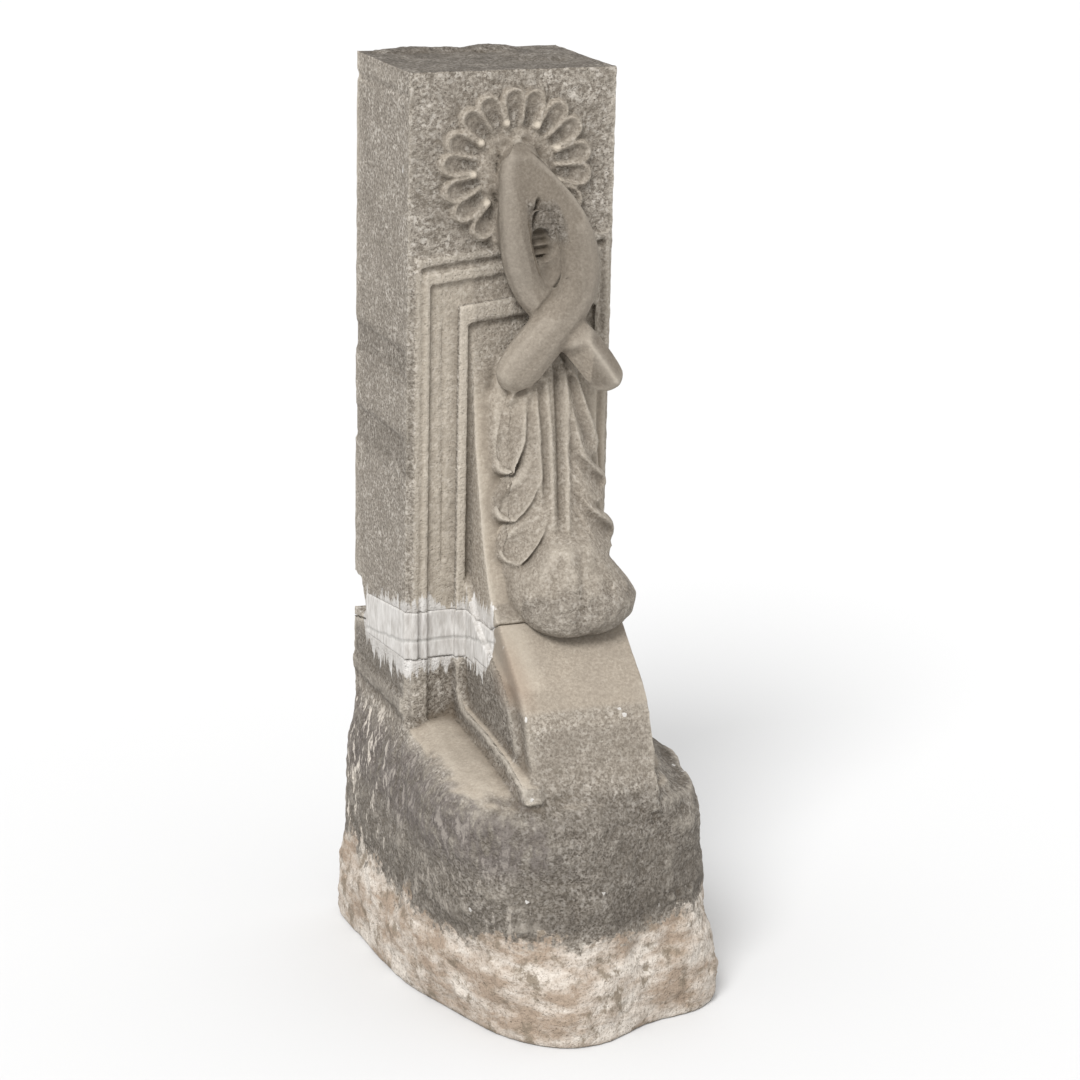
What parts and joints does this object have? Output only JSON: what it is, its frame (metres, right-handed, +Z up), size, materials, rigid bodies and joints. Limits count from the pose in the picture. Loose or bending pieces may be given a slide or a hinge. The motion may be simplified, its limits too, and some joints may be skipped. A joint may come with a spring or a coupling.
{
  "type": "stone corbel",
  "caption": "Carved stone corbel with a shell rosette, a knotted ribbon over a hanging acanthus leaf, a stepped frame and a rough tail, broken across and mended with plaster.",
  "frame": {"origin": "on the floor under the middle of the bounding box", "axes": "+Z up the shaft, -Y towards the carved front, +X to the right of someone facing the carving"},
  "size_m": [0.3744, 0.505, 1.106],
  "materials": {
    "carved_stone": "weathered grey tuff, bush-hammered and speckled",
    "rough_stone": "rough dark tuff with smooth tan slopes and a lime-stained foot",
    "plaster": "brushed white plaster fill"
  },
  "bodies": {
    "root": {"upper_stone": "carved_stone", "lower_stone": "rough_stone", "plaster_repair": "plaster"}
  },
  "joints": []
}
